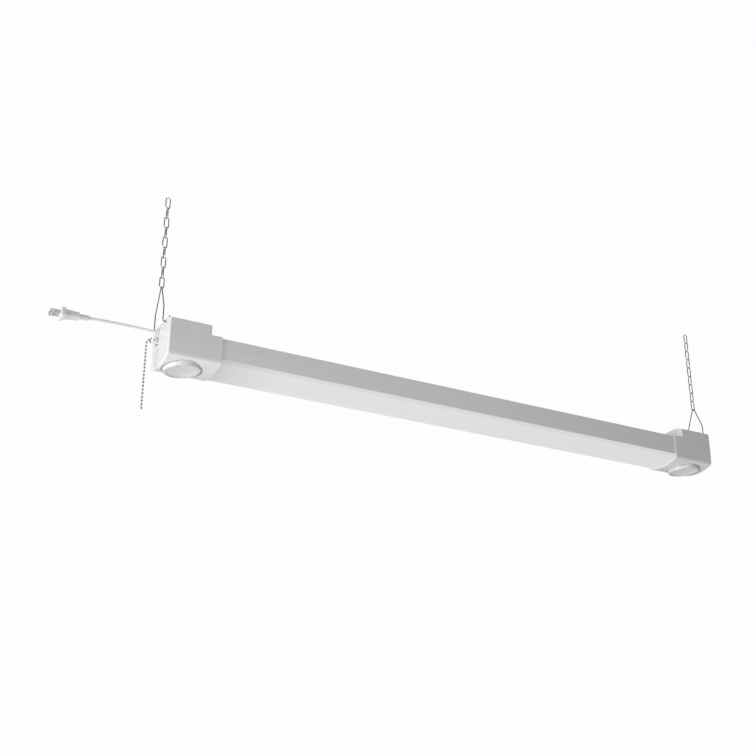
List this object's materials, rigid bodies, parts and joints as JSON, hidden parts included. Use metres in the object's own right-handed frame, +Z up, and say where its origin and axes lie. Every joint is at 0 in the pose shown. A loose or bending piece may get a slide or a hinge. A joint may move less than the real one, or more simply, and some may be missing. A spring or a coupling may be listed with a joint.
{
  "type": "hanging shop light",
  "caption": "Long white shop light with frosted lens, swivelling end spots, chain hangers, pull switch and short plug-in cord.",
  "frame": {"origin": "the ceiling, midway between the tops of the two hanging chains", "axes": "+X along the lamp away from its cord, -Y the lamp's front, +Z up"},
  "size_m": [1.3995, 0.089, 0.4075],
  "materials": {
    "cap_plastic": "gloss white moulding",
    "channel_paint": "white enamel",
    "lens_plastic": "frosted",
    "tray_metal": "satin",
    "strip_board": "white solder mask",
    "chip": "phosphor yellow",
    "driver_sheet": "grey",
    "green_board": "solder mask",
    "driver_part": "black",
    "coil": "lacquered",
    "wire": "matte",
    "connector": "natural",
    "nickel": "bright nickel plate",
    "steel": "zinc plated",
    "ring_metal": "white enamel",
    "spot_lens": "frosted",
    "reflector": "bright",
    "heatsink": "plain",
    "switch_black": "black",
    "cord_jacket": "satin white",
    "plug_plastic": "satin white",
    "blade": "nickel plated"
  },
  "bodies": {
    "ceiling_links": {"left_ceiling_link": "nickel", "right_ceiling_link": "nickel"},
    "second_links": {"left_second_link": "nickel", "right_second_link": "nickel"},
    "left_hanger": {"left_chain": "nickel", "left_v_hook": "nickel"},
    "right_hanger": {"right_chain": "nickel", "right_v_hook": "nickel"},
    "left_spot_ring": {"left_spot_ring": "ring_metal"},
    "right_spot_ring": {"right_spot_ring": "ring_metal"},
    "left_spot_head": {"left_spot_head": "ring_metal", "left_spot_pins": "steel", "left_spot_lens": "spot_lens", "left_spot_reflector": "reflector", "left_spot_board": "heatsink", "left_spot_sink": "heatsink"},
    "right_spot_head": {"right_spot_head": "ring_metal", "right_spot_pins": "steel", "right_spot_lens": "spot_lens", "right_spot_reflector": "reflector", "right_spot_board": "heatsink", "right_spot_sink": "heatsink"},
    "switch_drum": {"switch_drum": "switch_black"},
    "pull_lead": {"pull_lead": "nickel"},
    "swivel_bead": {"swivel_bead": "nickel"},
    "bead_chain": {"bead_chain": "nickel", "chain_end_drop": "nickel"},
    "lamp": {"cap_screws": "steel", "cord": "cord_jacket", "cord_bushing": "cord_jacket", "driver_board": "green_board", "driver_capacitors": "driver_part", "driver_case": "driver_sheet", "driver_choke": "coil", "driver_lid": "driver_sheet", "driver_transformer": "driver_part", "front_light_strip": "strip_board", "housing_channel": "channel_paint", "lamp_wires": "wire", "left_end_cap": "cap_plastic", "left_hang_pins": "steel", "left_spot_retainer": "steel", "lens_diffuser": "lens_plastic", "light_chips": "chip", "light_tray": "tray_metal", "narrow_blade": "blade", "plug_body": "plug_plastic", "plug_relief": "plug_plastic", "rear_light_strip": "strip_board", "right_end_cap": "cap_plastic", "right_hang_pins": "steel", "right_spot_retainer": "steel", "switch_bell": "nickel", "switch_case": "switch_black", "switch_nipple": "nickel", "switch_nut": "nickel", "wide_blade": "blade", "wire_connectors": "connector"}
  },
  "joints": [
    {"name": "sway", "type": "hinge", "parent": "ceiling_links", "child": "second_links", "pos_m": [0, 0, -0.0232], "axis": [1, 0, 0], "range_deg": [-15, 15]},
    {"name": "left_chain_swing", "type": "hinge", "parent": "second_links", "child": "left_hanger", "pos_m": [-0.6055, 0, -0.0432], "axis": [0, 1, 0], "range_deg": [-10, 10]},
    {"name": "right_chain_swing", "type": "hinge", "parent": "second_links", "child": "right_hanger", "pos_m": [0.6055, 0, -0.0432], "axis": [0, 1, 0], "range_deg": [-10.1, 10.1]},
    {"name": "lamp_level", "type": "hinge", "parent": "left_hanger", "child": "lamp", "pos_m": [-0.5974, 0, -0.2524], "axis": [0, 1, 0], "range_deg": [-10.2, 10.2]},
    {"name": "left_spot_turn", "type": "hinge", "parent": "lamp", "child": "left_spot_ring", "pos_m": [-0.559, 0, -0.3204], "axis": [0, 0, 1], "range_deg": [-175, 175]},
    {"name": "left_spot_tilt", "type": "hinge", "parent": "left_spot_ring", "child": "left_spot_head", "pos_m": [-0.559, 0, -0.3204], "axis": [0, 1, 0], "range_deg": [-14, 24]},
    {"name": "right_spot_turn", "type": "hinge", "parent": "lamp", "child": "right_spot_ring", "pos_m": [0.559, 0, -0.3204], "axis": [0, 0, 1], "range_deg": [-175, 175]},
    {"name": "right_spot_tilt", "type": "hinge", "parent": "right_spot_ring", "child": "right_spot_head", "pos_m": [0.559, 0, -0.3204], "axis": [0, 1, 0], "range_deg": [-14, 24]},
    {"name": "chain_pull", "type": "slide", "parent": "lamp", "child": "pull_lead", "axis": [0, 0, -1], "range_m": [0, 0.008], "stiffness_N_per_m": 300, "springref_m": -0.001},
    {"name": "drum_turn", "type": "hinge", "parent": "lamp", "child": "switch_drum", "pos_m": [-0.5884, 0.014, -0.2855], "axis": [0, -1, 0], "range_deg": [0, 71]},
    {"name": "swivel_out", "type": "hinge", "parent": "pull_lead", "child": "swivel_bead", "pos_m": [-0.62, 0.014, -0.2845], "axis": [0, 1, 0], "range_deg": [-20, 60]},
    {"name": "chain_side_swing", "type": "hinge", "parent": "swivel_bead", "child": "bead_chain", "pos_m": [-0.62, 0.014, -0.2912], "axis": [1, 0, 0], "range_deg": [-45, 45]}
  ],
  "couplings": [
    {"joint": "right_chain_swing", "follows": "left_chain_swing", "ratio": 1},
    {"joint": "lamp_level", "follows": "left_chain_swing", "ratio": -1.0136},
    {"joint": "drum_turn", "follows": "chain_pull", "rad_per_m": 153.85}
  ]
}
